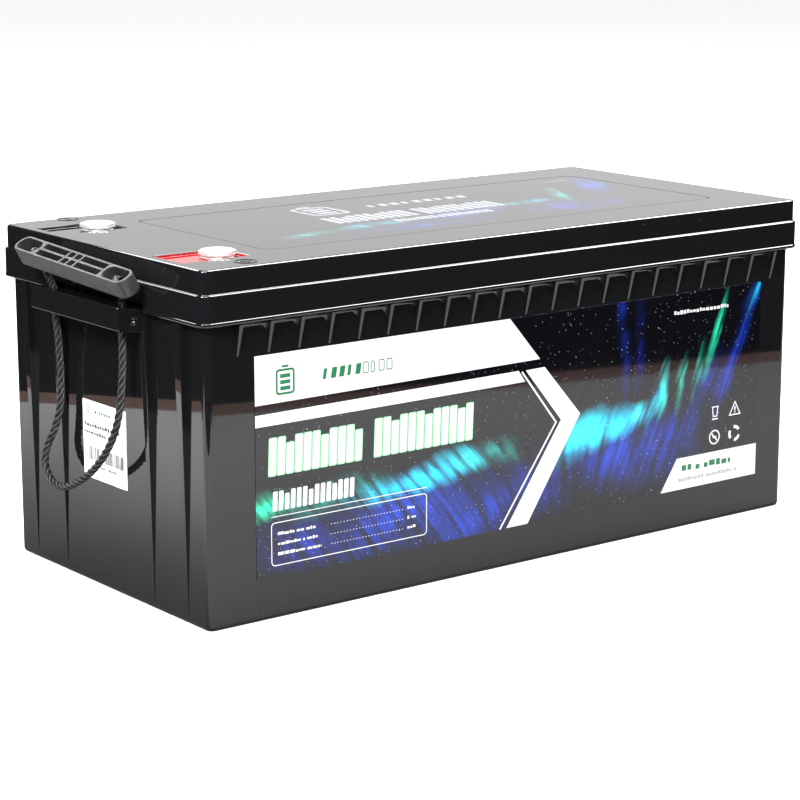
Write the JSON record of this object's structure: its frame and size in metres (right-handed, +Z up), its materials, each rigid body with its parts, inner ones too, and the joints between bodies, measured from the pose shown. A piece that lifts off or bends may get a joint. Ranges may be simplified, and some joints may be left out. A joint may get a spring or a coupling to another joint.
{
  "type": "deep cycle battery",
  "caption": "Sealed rectangular lithium leisure battery in a glossy ribbed case, with rope carrying handles on both ends and recessed bolt terminals at one end.",
  "frame": {"origin": "centre of the footprint, on the surface that the case stands on", "axes": "+X along the long side with the two terminals at the -X end, +Y towards the back with the labelled front facing -Y, +Z up"},
  "size_m": [0.5678, 0.25, 0.233],
  "materials": {
    "black_abs": "glossy moulded",
    "grey_grip": "satin moulded",
    "red_insert": "glossy moulded",
    "nickel": "nickel plated",
    "aluminium": "rolled",
    "copper": "bare copper",
    "cell_film": "blue heat-shrink film over an aluminium can",
    "foam": "closed-cell foam",
    "rubber": "moulded rubber",
    "board": "solder-masked glass-fibre board",
    "epoxy_board": "glass-fibre sheet",
    "strap": "woven polyester strapping",
    "label_film": "printed vinyl film",
    "sticker": "printed paper label",
    "red_jacket": "silicone cable jacket",
    "black_jacket": "silicone cable jacket",
    "rope": "laid polypropylene rope"
  },
  "bodies": {
    "battery": {"case": "black_abs", "lid": "black_abs", "lid_gasket": "rubber", "positive_terminal_insert": "red_insert", "positive_terminal_post": "nickel", "positive_post_seal": "rubber", "positive_post_nut": "nickel", "negative_terminal_insert": "black_abs", "negative_terminal_post": "nickel", "negative_post_seal": "rubber", "negative_post_nut": "nickel", "front_label": "label_film", "top_label": "label_film", "end_sticker": "sticker", "cell_1": "cell_film", "cell_2": "cell_film", "cell_3": "cell_film", "cell_4": "cell_film", "cell_pad_1": "foam", "cell_pad_2": "foam", "cell_pad_3": "foam", "pack_board_left": "epoxy_board", "pack_board_right": "epoxy_board", "pack_strap_1": "strap", "pack_strap_2": "strap", "busbar_1": "aluminium", "busbar_2": "aluminium", "busbar_3": "aluminium", "negative_output_tab": "copper", "negative_output_screw": "nickel", "positive_output_tab": "copper", "positive_output_screw": "nickel", "positive_cable": "red_jacket", "pack_negative_cable": "black_jacket", "negative_output_cable": "black_jacket", "sense_harness": "rubber", "bms_board": "board", "bms_heat_plate": "aluminium", "base_pad": "rubber", "foam_block_left": "foam", "foam_block_right": "foam", "left_rope_loop": "rope", "right_rope_loop": "rope"},
    "left_rope": {"left_rope_leg_front": "rope", "left_rope_leg_back": "rope"},
    "left_grip": {"left_grip": "grey_grip", "left_rope_end_front": "rope", "left_rope_end_back": "rope"},
    "right_rope": {"right_rope_leg_front": "rope", "right_rope_leg_back": "rope"},
    "right_grip": {"right_grip": "grey_grip", "right_rope_end_front": "rope", "right_rope_end_back": "rope"},
    "positive_washer": {"positive_terminal_washer": "nickel"},
    "positive_bolt": {"positive_terminal_bolt": "nickel"},
    "negative_washer": {"negative_terminal_washer": "nickel"},
    "negative_bolt": {"negative_terminal_bolt": "nickel"}
  },
  "joints": [
    {"name": "left_handle_lift", "type": "slide", "parent": "battery", "child": "left_rope", "axis": [0, 0, 1], "range_m": [0, 0.1], "deforming": ["left_rope_loop"]},
    {"name": "left_grip_level", "type": "hinge", "parent": "left_rope", "child": "left_grip", "pos_m": [-0.27013, 0.0009, 0.21229], "axis": [-0.0174, 0.9985, 0.0523], "range_deg": [0, 30]},
    {"name": "right_handle_lift", "type": "slide", "parent": "battery", "child": "right_rope", "axis": [0, 0, 1], "range_m": [0, 0.1], "deforming": ["right_rope_loop"]},
    {"name": "right_grip_level", "type": "hinge", "parent": "right_rope", "child": "right_grip", "pos_m": [0.27012, -0.00031, 0.21167], "axis": [0.0175, -0.9998, 0], "range_deg": [0, 30]},
    {"name": "positive_bolt_rise", "type": "slide", "parent": "battery", "child": "positive_washer", "axis": [0, 0, 1], "range_m": [0, 0.015]},
    {"name": "positive_bolt_turn", "type": "hinge", "parent": "positive_washer", "child": "positive_bolt", "pos_m": [-0.2136, -0.073, 0.23], "axis": [0, 0, 1], "range_deg": [0, 4325]},
    {"name": "negative_bolt_rise", "type": "slide", "parent": "battery", "child": "negative_washer", "axis": [0, 0, 1], "range_m": [0, 0.015]},
    {"name": "negative_bolt_turn", "type": "hinge", "parent": "negative_washer", "child": "negative_bolt", "pos_m": [-0.2136, 0.073, 0.23], "axis": [0, 0, 1], "range_deg": [0, 4325]}
  ],
  "couplings": [
    {"joint": "left_grip_level", "follows": "left_handle_lift", "rad_per_m": 5.1313},
    {"joint": "right_grip_level", "follows": "right_handle_lift", "rad_per_m": 5.1313},
    {"joint": "positive_bolt_turn", "follows": "positive_bolt_rise", "rad_per_m": 5026.5},
    {"joint": "negative_bolt_turn", "follows": "negative_bolt_rise", "rad_per_m": 5026.5}
  ]
}
